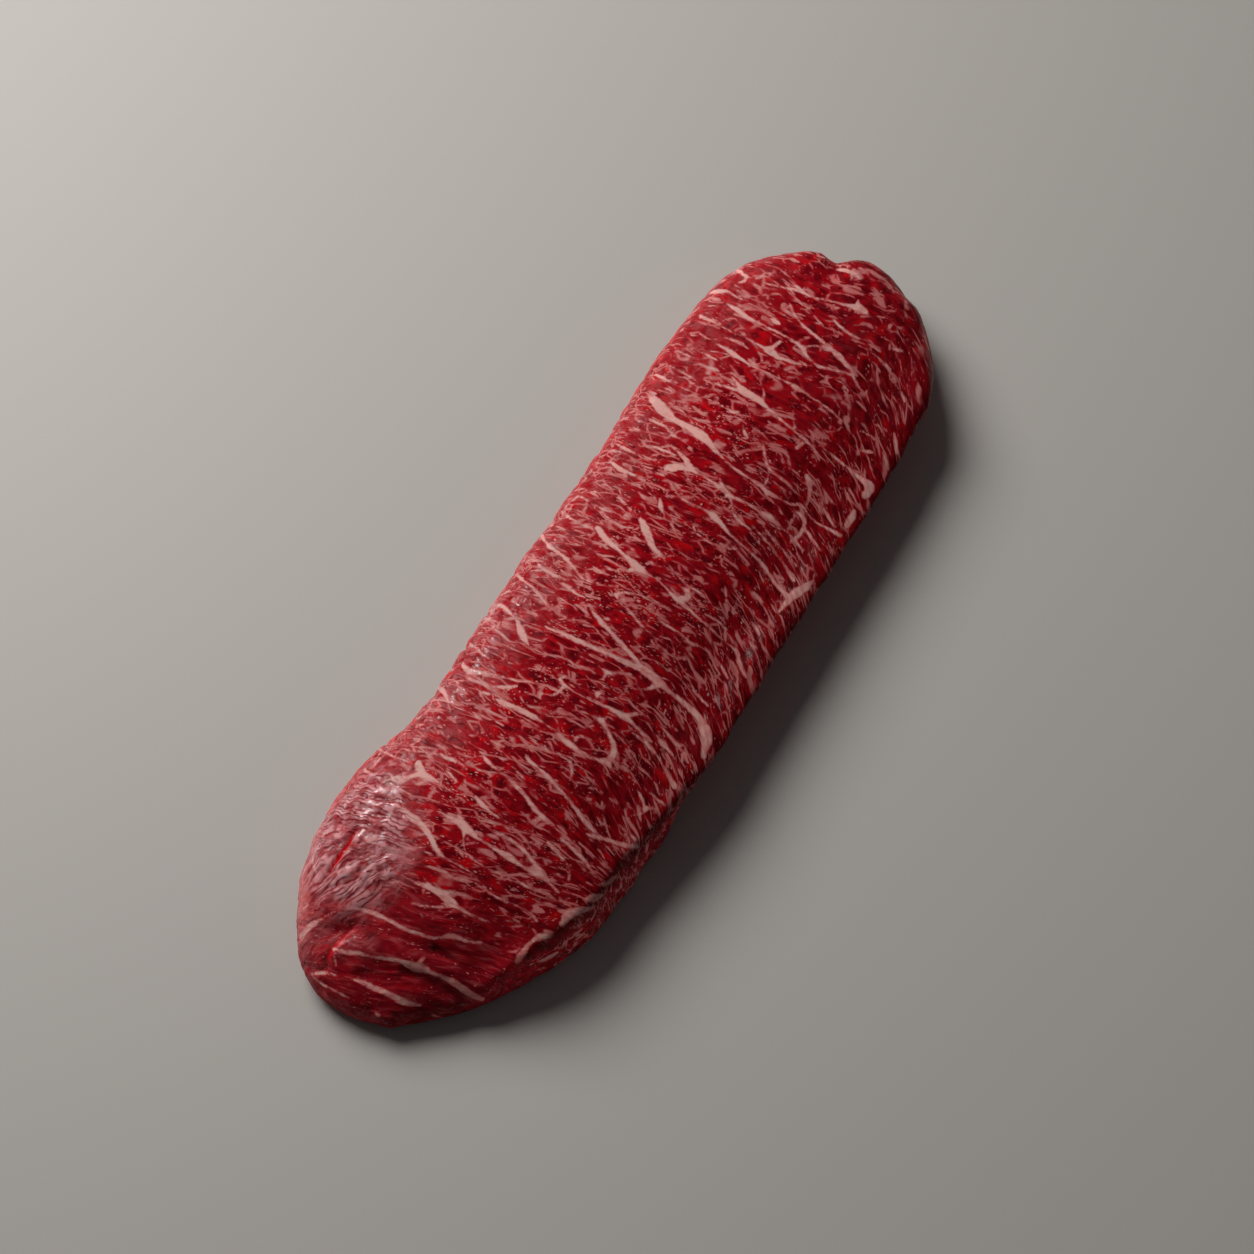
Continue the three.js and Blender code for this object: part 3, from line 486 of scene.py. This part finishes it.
# grooves and ridges: height and half width, then the points
carvings = [
    # the thick end
    (-0.6, 1.0, (-126.3, -1.5), (-125, -7.5), (-124.6, -13), (-124.3, -17.5)),
    (0.9, 1.6, (-131.5, 11), (-129.5, 5.5), (-127.8, 0.5)),
    (0.4, 1.6, (-131.2, 16.5), (-127.4, 7.1), (-124.9, -0.5), (-123.2, -8.6), (-122.2, -15)),
    (-0.9, 0.7, (-117.7, -5.6), (-117.8, -8.5), (-118, -11.5)),
    (-0.75, 0.8, (-123.7, 16.1), (-127.3, 16.8), (-130.2, 17.7), (-132.7, 17.8), (-135.2, 17.2)),
    (-0.6, 0.6, (-136.4, 23.1), (-136.7, 20.2), (-136.4, 17.8), (-135.2, 15.9)),
    (0.8, 0.9, (-138, -0.1), (-137.4, -3.3)),
    # a swell beside the far end's trimmed edge
    (1.5, 5.0, (98, -38), (110, -34.5), (120, -28), (128, -20)),
    # notches between the bundles of the rolled side
    (-0.9, 1.2, (12, 41), (12, 32)),
    (-0.8, 1.1, (1, 41), (0, 31.5)),
    (-0.9, 1.2, (-9, 41), (-9, 33)),
    (-1.0, 1.4, (-24.5, 41), (-24.3, 33.5)),
    (-0.9, 1.1, (-37, 41), (-37, 33)),
    (-0.8, 1.0, (-44, 41), (-43.6, 33)),
    (-0.9, 1.6, (-54, 41), (-53.5, 34)),
    (-0.9, 1.2, (-73, 41), (-72.7, 33.5)),
    (-0.7, 1.1, (27, 41), (26.5, 33)),
    (-0.8, 1.3, (39, 41), (39.5, 33)),
    (-0.7, 1.0, (53, 41), (52.5, 34)),
    (-0.9, 1.2, (69, 41), (69, 33)),
    (-0.7, 1.1, (84, 41), (84.5, 33)),
    # the bed of the longer cut
    (-1.1, 0.6, (-101.9, 28.4), (-108.7, 28.3), (-114.7, 28.9)),
]
freshCuts = [
    ((-101.9, 28.4, 0.4), (-106, 28.3, 1.1), (-110.2, 28.4, 1.6), (-114.7, 28.9, 0.6)),
    ((-124.7, 16.6, 0.4), (-128.5, 17.2, 1.1), (-133.5, 17.7, 0.7)),
]
carveShape = {
    "reach": 8.0,
    "foot": (1, 4),  # the carving fades towards the foot
    "cutReach": 5.0,
    "cutEdge": (0.3, -0.2),
}


def smoothstep(low, high, values):
    share = np.clip((values - low) / (high - low), 0, 1)
    return share * share * (3 - 2 * share)


def curveThrough(points, stepsEach=5):
    spots = np.array(points, float)
    held = np.vstack([2 * spots[0] - spots[1], spots, 2 * spots[-1] - spots[-2]])
    path = []
    for before, start, end, after in zip(held, held[1:], held[2:], held[3:]):
        for step in range(stepsEach):
            t = step / stepsEach
            path.append(
                0.5 * (2 * start + (end - before) * t + (2 * before - 5 * start + 4 * end - after) * t**2
                       + (3 * start - before - 3 * end + after) * t**3)
            )
    path.append(spots[-1])
    return np.array(path)


def gapToStroke(places, points, reach):
    # signed distance to a stroke that changes its width on the way, negative inside it
    path = curveThrough(points)
    line = path[:, :2]
    gap = np.full(len(places), reach)
    near = np.all((places > line.min(axis=0) - reach) & (places < line.max(axis=0) + reach), axis=1)
    spots = places[near]
    nearest = gap[near]
    for start, end in zip(path, path[1:]):
        along = end[:2] - start[:2]
        t = np.clip((spots - start[:2]) @ along / max(along @ along, 1e-9), 0, 1)
        away = np.linalg.norm(spots - start[:2] - t[:, None] * along, axis=1)
        nearest = np.minimum(nearest, away - 0.5 * (start[2] + t * (end[2] - start[2])))
    gap[near] = nearest
    return gap


def gapToStrokes(places, strokes, reach):
    return np.min([gapToStroke(places, points, reach) for points in strokes], axis=0)


def storeValues(mesh, name, values):
    kind = "FLOAT_VECTOR" if values.ndim == 2 else "FLOAT"
    layer = mesh.attributes.new(name, kind, "POINT")
    layer.data.foreach_set("vector" if values.ndim == 2 else "value", values.astype(np.float32).ravel())


def markSurface(piece):
    mesh = piece.data
    co = np.empty(len(mesh.vertices) * 3)
    mesh.vertices.foreach_get("co", co)
    co = co.reshape(-1, 3) / mm
    x, y, z = co.T
    place = co[:, :2]

    bent = grain["bend"] * np.maximum(0, grain["bendStart"] - y) ** 2
    nearShare = smoothstep(*grain["near"], x)
    lean = grain["nearLean"] * nearShare + grain["tipLean"] * smoothstep(*grain["tip"], x)
    far = np.maximum(0, x - grain["farFrom"])
    wider = grain["farSwell"] * far**2 / (far + grain["farEase"])
    across = x + (1 - nearShare) * bent + lean * y - wider
    storeValues(mesh, "grain", np.column_stack([across, y, z]))

    shifted = place - np.outer(marblingLevel - z, marblingSlant) - np.array(marblingZero)
    crowd = np.zeros(len(co))
    for points in veins:
        crowd += np.exp(-gapToStroke(shifted, points, veinShape["reach"]) / veinShape["blend"])
    storeValues(mesh, "vein", -veinShape["blend"] * np.log(crowd))

    patch = smoothstep(*skin["edge"], gapToStrokes(place, skin["strokes"], skin["reach"]))
    bandShare = skin["bandShare"] + skin["bandMore"] * smoothstep(*skin["bandNear"], x)
    storeValues(mesh, "skin", np.maximum(patch, bandShare * smoothstep(*skin["band"], y)))
    calmTip = calming["tipShare"] * smoothstep(*calming["tip"], x)
    calmFar = calming["farShare"] * smoothstep(*calming["far"], x)
    storeValues(mesh, "calm", np.max([calmTip, calmFar, calming["skinShare"] * patch], axis=0))

    carve = np.zeros(len(co))
    for height, half, *points in carvings:
        gap = gapToStroke(place, [(*point, 0) for point in points], carveShape["reach"])
        carve += height * np.exp(-((np.maximum(gap, 0) / half) ** 2))
    storeValues(mesh, "carve", carve * smoothstep(*carveShape["foot"], z))
    fresh = gapToStrokes(place, freshCuts, carveShape["cutReach"])
    storeValues(mesh, "fresh", smoothstep(*carveShape["cutEdge"], fresh))
    storeValues(mesh, "level", z)


markSurface(steak)
print("surface marked")


# node helpers for the relief and the material

def plug(socket, value):
    if isinstance(value, bpy.types.NodeSocket):
        socket.id_data.links.new(value, socket)
    else:
        socket.default_value = value


def addNode(kind, *values):
    # a node in the tree that the first linked value comes from
    tree = next(value.id_data for value in values if isinstance(value, bpy.types.NodeSocket))
    return tree.nodes.new(kind)


def calc(operation, *values):
    node = addNode("ShaderNodeMath", *values)
    node.operation = operation
    for socket, value in zip(node.inputs, values):
        plug(socket, value)
    return node.outputs[0]


def add(total, *others):
    for other in others:
        total = calc("ADD", total, other)
    return total


def minus(total, *others):
    for other in others:
        total = calc("SUBTRACT", total, other)
    return total


def times(total, *others):
    for other in others:
        total = calc("MULTIPLY", total, other)
    return total


def calcVector(operation, *values):
    node = addNode("ShaderNodeVectorMath", *values)
    node.operation = operation
    sockets = [node.inputs[0], node.inputs["Scale"]] if operation == "SCALE" else node.inputs
    for socket, value in zip(sockets, values):
        plug(socket, value)
    return node.outputs["Value" if operation in ("LENGTH", "DOT_PRODUCT") else "Vector"]


def ramp(value, low, high, toLow=0.0, toHigh=1.0):
    node = addNode("ShaderNodeMapRange", value)
    node.interpolation_type = "SMOOTHSTEP"
    for name, setting in zip(("Value", "From Min", "From Max", "To Min", "To Max"),
                             (value, low, high, toLow, toHigh)):
        plug(node.inputs[name], setting)
    return node.outputs["Result"]


def mix(share, below, above, kind="RGBA"):
    node = addNode("ShaderNodeMix", share)
    node.data_type = kind
    sockets = [socket for socket in node.inputs if socket.enabled]
    for socket, value in zip(sockets, (share, below, above)):
        plug(socket, value)
    return next(socket for socket in node.outputs if socket.enabled)


def parts(vector):
    node = addNode("ShaderNodeSeparateXYZ", vector)
    plug(node.inputs[0], vector)
    return node.outputs


def noiseNode(place, size, detail=2.0, roughness=0.5, shift=(0, 0, 0)):
    # size is the length of a swell along each axis of the grain
    node = addNode("ShaderNodeTexNoise", place)
    spot = calcVector("ADD", calcVector("DIVIDE", place, size), shift)
    plug(node.inputs["Vector"], spot)
    node.inputs["Scale"].default_value = 1
    node.inputs["Detail"].default_value = detail
    node.inputs["Roughness"].default_value = roughness
    return node


def noise(place, *settings):
    return noiseNode(place, *settings).outputs[0]


def swing(place, weight, middle, *settings):
    # a noise on both sides of its middle
    return times(minus(noise(place, *settings), middle), weight)


def patches(place, share, *settings):
    return ramp(noise(place, *settings), *share)


def sway(place, reach, *settings):
    # up to half the reach to either side
    share = calcVector("SUBTRACT", noiseNode(place, *settings).outputs[1], (0.5, 0.5, 0.5))
    return calcVector("MULTIPLY", share, reach)


def cellPoints(spot, feature, randomness=0.9):
    node = addNode("ShaderNodeTexVoronoi", spot)
    node.feature = feature
    node.inputs["Scale"].default_value = 1
    node.inputs["Randomness"].default_value = randomness
    plug(node.inputs["Vector"], spot)
    return node.outputs


def bundles(place, size, shift):
    # long cells: the distance to their wall in mm, and how far the wall lies across the grain
    spot = calcVector("ADD", calcVector("DIVIDE", place, size), shift)
    first = cellPoints(spot, "F1")["Position"]
    second = cellPoints(spot, "F2")["Position"]
    between = calcVector("SUBTRACT", second, first)
    middle = calcVector("SCALE", calcVector("ADD", first, second), 0.5)
    lead = calcVector("DOT_PRODUCT", calcVector("SUBTRACT", middle, spot), between)
    slope = calcVector("DIVIDE", between, size)
    steepness = calcVector("LENGTH", slope)
    return {
        "gap": calc("DIVIDE", lead, steepness),
        "across": calc("ABSOLUTE", calc("DIVIDE", parts(slope)["Y"], steepness)),
    }


# the meat: bundles of fibres with fat between them
# a noise has its size, detail, roughness and shift, with a ramp before them, or a weight and a middle
# two or four plain numbers are a ramp

meat = {
    "sways": [((8, 5, 5), (9, 24, 12)), ((0.7, 0.5, 0.5), (3, 6.5, 3))],  # the reach, then the size
    "largeBundles": ((4.6, 13, 7), (3.1, 0.7, 5.3)),
    "smallBundles": ((2.5, 6, 3.2), (7.9, 2.3, 1.1)),
    "largeLine": (0.26, 0.6, 0.3),  # half width, softness, and what is left of it across the grain
    "smallLine": (0.08, 0.5, 0.25),
    "crossing": (0.45, 0.95, 1),
    "lineCore": 0.3,
    "lineFade": (0, 0.9),
    "swells": ((2.4, 5, 3), 1, 0.5, (1, 15, 8)),
    "clusters": ((5, 7, 5), 1, 0.5, (11, 5, 2)),
    "largeShare": (0.42, 0.75, 0, 1.5),
    "smallShare": (0.35, 0.68, 0.3, 1.3),
    "smallClusters": (0.35, 0.62, 0.5, 1),
    "lively": (2, 20, 1, 1.45),  # more fat lines towards the rolled side
    "rimCalm": 0.8,
    "streakCalm": 0.12,
    "speckCalm": 0.06,
    "streaks": ((0.5, 1.5, 0.7), 0, 0.5, (4, 4, 9)),
    "streakClusters": (0.3, 0.7, -0.1, 0.07),
    "flecks": (0.6, 0.88),
    "specksAndGlints": ((0.35, 1, 0.5), 0, 0.5, (12, 4, 3)),
    "speckClusters": (0.3, 0.7, -0.1, 0.06),
    "speckFar": (50, 90, 0, 0.06),
    "speckShare": (0.7, 0.86),
    "frayEdge": (0.8, 0.5, (0.9, 1.7, 0.9), 1, 0.6, (8, 1, 3)),
    "frayWidth": (0.9, 0.42, (4, 7, 4), 0, 0.5, (2, 6, 6)),
    "veinShare": (0.4, -0.75),
    "paleness": (0.8, 0.7, 0.65),  # of large lines, small lines and flecks
    "rimStart": (-95, -115, 12, 21),  # along the steak: where the rolled edge's rim, with painted rim light and fewer fat lines, starts across it
    "rimWidth": 11,
    "rimTop": (18, 10),
    "rimFoot": (6, 15, 0.05, 1),
}


def fatLine(cell, presence, half, softness, crossing):
    # a line along the wall of a bundle, thinner and fainter where the wall crosses the grain
    strength = times(presence, ramp(cell["across"], *meat["crossing"], crossing))
    width = times(strength, half)
    line = ramp(cell["gap"], add(width, softness), times(width, meat["lineCore"]))
    return times(line, ramp(strength, *meat["lineFade"]))


def marbling(grainPlace, vein, calm):
    place = grainPlace
    for settings in meat["sways"]:
        place = calcVector("ADD", place, sway(grainPlace, *settings))
    large = bundles(place, *meat["largeBundles"])
    small = bundles(place, *meat["smallBundles"])
    clusters = noise(grainPlace, *meat["clusters"])
    swells = noise(grainPlace, *meat["swells"])

    spot = parts(grainPlace)
    # the rolled edge's rim, where fat lines are fewer and the material paints rim light
    rimStart = ramp(spot["X"], *meat["rimStart"])
    rim = ramp(spot["Y"], rimStart, add(rimStart, meat["rimWidth"]))
    rim = times(rim, ramp(spot["Z"], *meat["rimTop"]), ramp(spot["Z"], *meat["rimFoot"]))

    lively = times(minus(1, calm), ramp(spot["Y"], *meat["lively"]), minus(1, times(rim, meat["rimCalm"])))
    largeShare = times(ramp(swells, *meat["largeShare"]), lively)
    largeLines = fatLine(large, largeShare, *meat["largeLine"])
    smallShare = times(ramp(swells, *meat["smallShare"]), ramp(clusters, *meat["smallClusters"]), lively)
    smallLines = fatLine(small, smallShare, *meat["smallLine"])
    streaks = add(noise(place, *meat["streaks"]), ramp(clusters, *meat["streakClusters"]))
    streaks = minus(streaks, times(calc("MAXIMUM", calm, rim), meat["streakCalm"]))
    flecks = ramp(streaks, *meat["flecks"])
    # specks of fat, partly painted glints
    specksAndGlints = add(noise(place, *meat["specksAndGlints"]), ramp(clusters, *meat["speckClusters"]))
    specksAndGlints = minus(specksAndGlints, times(calm, meat["speckCalm"]), ramp(spot["X"], *meat["speckFar"]))

    frayed = add(vein, swing(grainPlace, *meat["frayEdge"]), swing(grainPlace, *meat["frayWidth"]))
    fat = ramp(frayed, *meat["veinShare"])
    for share, paleness in zip((largeLines, smallLines, flecks), meat["paleness"]):
        fat = calc("MAXIMUM", fat, times(share, paleness))
    return {
        "place": place,
        "large": large,
        "small": small,
        "frayed": frayed,
        "fat": fat,
        "specksAndGlints": ramp(specksAndGlints, *meat["speckShare"]),
        "rim": rim,
    }


# the silverskin: overlapping wrinkles, coarse and fine

wrinkles = {
    "sway": ((5, 5, 5), (7, 9, 7), 1),  # the reach, then the size and detail
    "turn": (-94, -108),  # towards the tip they turn from across the steak to along it
    "courses": ((1, -0.05, 0), (0.55, 0.75, 0)),  # the way they follow each other, before and after it
    "drift": (2.6, 3.8, 4),  # for a pitch of 1
    "driftDetail": 1.5,
    "folds": (4.6, 2, (5, 6, 7)),  # pitch, wander and shift
    "fine": (1.3, 3, (25, 3, 4)),
    "front": (0.04, 0.32),
    "back": (0.55, 1, 1, 0.4),
    "broken": ((0.34, 0.54), (1.8, 3.4, 2.4), 1, 0.5, (3, 27, 8)),
}


def wrinkleRow(place, reach, pitch, wander, shift):
    # 0 at each crease, steep on one side of it and long on the other
    along, side, up = wrinkles["drift"]
    size = (along * pitch**0.5, side * pitch**0.5, up)
    drift = noise(place, size, wrinkles["driftDetail"], 0.5, shift)
    step = calc("FRACT", add(calc("DIVIDE", reach, pitch), times(drift, wander)))
    return times(ramp(step, *wrinkles["front"]), ramp(step, *wrinkles["back"]))


def crinkles(grainPlace):
    place = calcVector("ADD", grainPlace, sway(grainPlace, *wrinkles["sway"]))
    turned = ramp(parts(place)["X"], *wrinkles["turn"])
    rows = []
    for course in wrinkles["courses"]:
        reach = calcVector("DOT_PRODUCT", place, course)
        rows.append([wrinkleRow(place, reach, *wrinkles[kind]) for kind in ("folds", "fine")])
    folds, fine = (mix(turned, before, after, "FLOAT") for before, after in zip(*rows))
    return folds, mix(patches(grainPlace, *wrinkles["broken"]), 1, fine, "FLOAT")


# relief, in millimetres

relief = {
    "fullness": 0.3,  # makes up for what the softening took off
    "largeDome": (0, 2.2, -0.07, 0.07),
    "smallDome": (0, 1.1, -0.03, 0.03),
    "uneven": (0.6, 0.5, (11, 16, 11), 1),
    "lumps": (0.25, 0.5, (4, 6, 4), 1, 0.5, (5, 5, 5)),
    "skinFolds": 0.42,
    "skinCreases": 0.16,
    "foot": (0.2, 2.5),  # it fades towards the flat foot
}


def namedValue(tree, name, kind="FLOAT"):
    node = tree.nodes.new("GeometryNodeInputNamedAttribute")
    node.data_type = kind
    node.inputs["Name"].default_value = name
    return next(socket for socket in node.outputs if socket.enabled and socket.name == "Attribute")


def addRelief(piece, values):
    tree = bpy.data.node_groups.new("meatRelief", "GeometryNodeTree")
    tree.interface.new_socket("Geometry", in_out="INPUT", socket_type="NodeSocketGeometry")
    tree.interface.new_socket("Geometry", in_out="OUTPUT", socket_type="NodeSocketGeometry")
    grainPlace = namedValue(tree, "grain", "FLOAT_VECTOR")
    pattern = marbling(grainPlace, namedValue(tree, "vein"), namedValue(tree, "calm"))
    folds, fine = crinkles(grainPlace)
    crinkle = add(times(folds, values["skinFolds"]), times(fine, values["skinCreases"]))
    height = add(namedValue(tree, "carve"), values["fullness"],
                 ramp(pattern["large"]["gap"], *values["largeDome"]),
                 ramp(pattern["small"]["gap"], *values["smallDome"]),
                 swing(grainPlace, *values["uneven"]), swing(grainPlace, *values["lumps"]),
                 times(crinkle, namedValue(tree, "skin")))
    height = times(height, ramp(namedValue(tree, "level"), *values["foot"]), mm)
    normal = tree.nodes.new("GeometryNodeInputNormal")
    move = tree.nodes.new("GeometryNodeSetPosition")
    plug(move.inputs["Offset"], calcVector("SCALE", normal.outputs["Normal"], height))
    start = tree.nodes.new("NodeGroupInput")
    end = tree.nodes.new("NodeGroupOutput")
    tree.links.new(start.outputs[0], move.inputs["Geometry"])
    tree.links.new(move.outputs["Geometry"], end.inputs[0])
    pick(piece)
    applyModifier(piece, "NODES", {"node_group": tree})


addRelief(steak, relief)
print("relief made")


# the look of raw marbled beef

beefLook = {
    "clearRed": (0.5, 0.003, 0.006, 1),
    "crimson": (0.3, 0.003, 0.008, 1),
    "darkRed": (0.11, 0.001, 0.004, 1),
    "fatDeep": (0.52, 0.17, 0.16, 1),
    "fatPale": (0.66, 0.355, 0.325, 1),
    "thinFat": (0.4, 0.035, 0.045, 1),
    # pale specks of fat, partly painted glints
    "speckAndGlint": (0.64, 0.27, 0.25, 1),
    "softDark": (0.2, 0.004, 0.012, 1),  # the thick end's meat, under less marbling
    "softLight": (0.33, 0.013, 0.022, 1),
    "softPale": (0.5, 0.09, 0.1, 1),
    # painted rim light: the rolled edge lit red where the light grazes it and shines through it, paler at
    # the thick end
    "rimLightRed": (0.72, 0.05, 0.055, 1),
    "rimLightPale": (0.76, 0.23, 0.22, 1),
    "rimShare": (0.36, 0.6, 0.4, 0.95),
    "rimTurn": (-80, -100),
    # the silverskin's pale film, with painted sheen: palest just past each crease
    "filmAndSheen": (0.8, 0.4, 0.42, 1),
    # painted shade in the silverskin's creases
    "creaseShadeRed": (0.2, 0.003, 0.01, 1),
    "cutRed": (0.48, 0.005, 0.012, 1),
    "wallTone": (0.1, 1, 0.35, 0),  # brighter beside the bundles' walls
    "depth": (2, 0.35, (1.8, 4.2, 2.4), 2, 0.55, (16, 13, 1)),
    "fibres": (0.6, 0.5, (0.32, 4, 0.5), 2, 0.6, (6, 3, 1)),
    "paintedLight": (8, 24, 0, 0.3),  # painted light: redder towards the rolled side, which faces the lamp
    "crimsonShare": (0, 0.9),
    "clearing": ((0.52, 0.78, 0, 0.9), (2.2, 4.5, 3), 1, 0.5, (5, 21, 4)),
    "soft": ((0.35, 0.65), (3.2, 9, 4), 1, 0.5, (8, 11, 14)),
    "strands": ((1, 7, 1.8), 2, 0.6, (18, 1, 4)),
    "strandDark": (0.5, 0.34, 0, 0.8),
    "strandPale": (0.52, 0.7, 0, 0.8),
    "calmSoft": 0.75,
    "fatTone": ((1.4, 2.8, 1.6), 2, 0.6, (7, 7, 2)),
    "fatThick": (0.3, -0.8, -0.15, 0.12),
    # painted light: the fat paler towards the rolled side, which faces the lamp
    "fatPaintedLight": (-25, 15, -0.1, 0.1),
    "fatDeeper": (0.15, 0.25, 0.4),  # where it is calm, on the rolled edge and on the trimmed side
    "fatShare": (0.34, 0.7),
    # the fat lifted towards the trimmed side, so that the painted shade darkens it less than the meat
    "fatBoost": (-30, 5, 1.35, 1),
    "shadeReach": (-32, 20),  # across the steak: painted shade and light, darker towards the trimmed side, away from the lamp, and lighter towards the rolled side
    "darkest": (-95, -65, 0.68, 0.6),  # at the thick end and past it
    "lightest": 1.28,
    "wallTop": (20, 13),
    "wallReach": (-15, -27),
    "wallGlow": 1.2,  # light that the floor throws back on the trimmed side
    "filmAndSheenShare": ((0.38, 0.58, 0.2, 0.95), (3.5, 3.5, 3.5), 2, 0.6, (9, 9, 1)),
    "creaseShadeShare": 0.85,
    "thinShare": (0.12, 0.6, 0, 0.9),
    "thickShare": (0.3, 0.95),
    "roughness": (0.2, 1, 0.18, 0.34),  # from meat to fat
    "wet": ((0.3, 0.7, 0.7, 1.3), (1.6, 2.6, 1.6), 2, 0.6, (3, 13, 7)),
    "skinRoughness": 0.24,
    "skinGloss": 0.8,
    "dullFoot": (15, 6, 0, 0.3),
    "dullEdge": (0.7, 0.95, 0, 0.5),
    "moist": ((0.55, 1.3, 0.7), 1, 0.5, (3, 18, 6)),
    "moistFar": (50, 90, 0, 0.12),  # drier towards the far end and the trimmed side
    "moistSide": (-10, -25, 0, 0.06),
    "moistShare": (0.57, 0.74, 0, 0.85),
    "satin": (0.2, 0.7, 0, 0.65),
    "moistEdge": (0.6, 0.85, 1, 0),
    "beads": ((0.62, 0.8, 0, 0.06), (0.55, 0.9, 0.6), 0, 0.5, (2, 2, 6)),
    "ridges": (0.05, 0, (0.5, 1.6, 0.6), 1, 0.5, (14, 6, 1)),
    "crinkleHeight": 0.12,
    "shader": {
        "Coat Roughness": 0.15,
        "Specular IOR Level": 0.05,
        "Subsurface Weight": 0.7,
        "Subsurface Radius": (3, 0.3, 0.2),
        "Subsurface Scale": 0.8 * mm,
    },
}


def attribute(tree, name, output="Fac"):
    node = tree.nodes.new("ShaderNodeAttribute")
    node.attribute_name = name
    return node.outputs[output]


def redMeat(pattern, spot, calm, fresh, look):
    place = pattern["place"]
    # the tone, with painted light towards the rolled side
    tone = add(ramp(pattern["small"]["gap"], *look["wallTone"]), swing(place, *look["depth"]),
               swing(place, *look["fibres"]), ramp(spot["Y"], *look["paintedLight"]))
    red = mix(ramp(tone, *look["crimsonShare"]), look["darkRed"], look["crimson"])
    red = mix(patches(place, *look["clearing"]), red, look["clearRed"])
    softRed = mix(patches(place, *look["soft"]), look["softDark"], look["softLight"])
    strands = noise(place, *look["strands"])
    softRed = mix(ramp(strands, *look["strandDark"]), softRed, look["darkRed"])
    softRed = mix(ramp(strands, *look["strandPale"]), softRed, look["softPale"])
    red = mix(times(calm, look["calmSoft"]), red, softRed)
    red = mix(fresh, red, look["cutRed"])
    # painted rim light along the rolled edge
    rim = times(pattern["rim"], ramp(strands, *look["rimShare"]))
    rimLightColor = mix(ramp(spot["X"], *look["rimTurn"]), look["rimLightRed"], look["rimLightPale"])
    return mix(rim, red, rimLightColor), rim


def paleFat(pattern, spot, grainPlace, calm, rim, wall, look):
    # pinkish where it is thin, and paler towards the rolled side, which faces the lamp: painted light
    tone = add(noise(grainPlace, *look["fatTone"]), ramp(pattern["frayed"], *look["fatThick"]),
               ramp(spot["Y"], *look["fatPaintedLight"]))
    for share, weight in zip((calm, rim, wall), look["fatDeeper"]):
        tone = minus(tone, times(share, weight))
    color = mix(ramp(tone, *look["fatShare"]), look["fatDeep"], look["fatPale"])
    # the fat lifted towards the trimmed side, so that the painted shade darkens it less
    return calcVector("SCALE", color, ramp(spot["Y"], *look["fatBoost"]))


def rawBeef(look):
    beef = bpy.data.materials.new("rawMarbledBeef")
    beef.use_nodes = True
    tree = beef.node_tree
    shader = tree.nodes["Principled BSDF"]
    facing = tree.nodes.new("ShaderNodeLayerWeight").outputs["Facing"]
    grainPlace = attribute(tree, "grain", "Vector")
    spot = parts(grainPlace)
    calm = attribute(tree, "calm")
    fresh = attribute(tree, "fresh")
    skinShare = times(attribute(tree, "skin"), minus(1, fresh))
    pattern = marbling(grainPlace, attribute(tree, "vein"), calm)
    folds, fine = crinkles(grainPlace)
    facets = times(fine, add(times(folds, 0.5), 0.5))  # half of it follows the folds

    # meat, fat and specks with painted glints, then painted shade and light, and the silverskin's film with
    # its painted sheen and painted crease shade over them
    wall = times(ramp(spot["Z"], *look["wallTop"]), ramp(spot["Y"], *look["wallReach"]))
    red, rim = redMeat(pattern, spot, calm, fresh, look)
    fat = paleFat(pattern, spot, grainPlace, calm, rim, wall, look)
    color = mix(ramp(pattern["fat"], *look["thinShare"]), red, look["thinFat"])
    color = mix(ramp(pattern["fat"], *look["thickShare"]), color, fat)
    color = mix(pattern["specksAndGlints"], color, look["speckAndGlint"])
    # painted shade and light across the steak, and painted light that the floor throws back on the trimmed
    # side
    darkest = ramp(spot["X"], *look["darkest"])
    shade = ramp(spot["Y"], *look["shadeReach"], darkest, look["lightest"])
    color = calcVector("SCALE", color, add(shade, times(wall, look["wallGlow"])))
    # painted shade: the silverskin darkened in its creases
    creaseShade = times(skinShare, minus(look["creaseShadeShare"], times(facets, look["creaseShadeShare"])))
    color = mix(creaseShade, color, look["creaseShadeRed"])
    # the silverskin's film, with painted sheen on its wrinkles
    filmAndSheenShare = times(skinShare, facets, patches(grainPlace, *look["filmAndSheenShare"]))
    color = mix(filmAndSheenShare, color, look["filmAndSheen"])
    plug(shader.inputs["Base Color"], color)

    roughness = times(ramp(pattern["fat"], *look["roughness"]), patches(grainPlace, *look["wet"]))
    roughness = mix(times(skinShare, look["skinGloss"]), roughness, look["skinRoughness"], "FLOAT")
    roughness = add(roughness, ramp(spot["Z"], *look["dullFoot"]), ramp(facing, *look["dullEdge"]))
    plug(shader.inputs["Roughness"], roughness)

    # small moist spots that catch the light
    moist = minus(noise(pattern["place"], *look["moist"]),
                  ramp(spot["X"], *look["moistFar"]), ramp(spot["Y"], *look["moistSide"]))
    satin = times(filmAndSheenShare, ramp(skinShare, *look["satin"]))
    coat = calc("MAXIMUM", ramp(moist, *look["moistShare"]), satin)
    plug(shader.inputs["Coat Weight"], times(coat, ramp(facing, *look["moistEdge"])))

    # fine relief, height in millimetres
    height = add(patches(grainPlace, *look["beads"]), swing(pattern["place"], *look["ridges"]),
                 times(facets, look["crinkleHeight"], skinShare))
    bump = tree.nodes.new("ShaderNodeBump")
    bump.inputs["Distance"].default_value = mm
    bump.inputs["Strength"].default_value = 1
    plug(bump.inputs["Height"], height)
    plug(shader.inputs["Normal"], bump.outputs["Normal"])

    for name, value in look["shader"].items():
        shader.inputs[name].default_value = value
    return beef


steak.data.materials.append(rawBeef(beefLook))
print("beef look made")


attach(steak, "root")
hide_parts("steak")
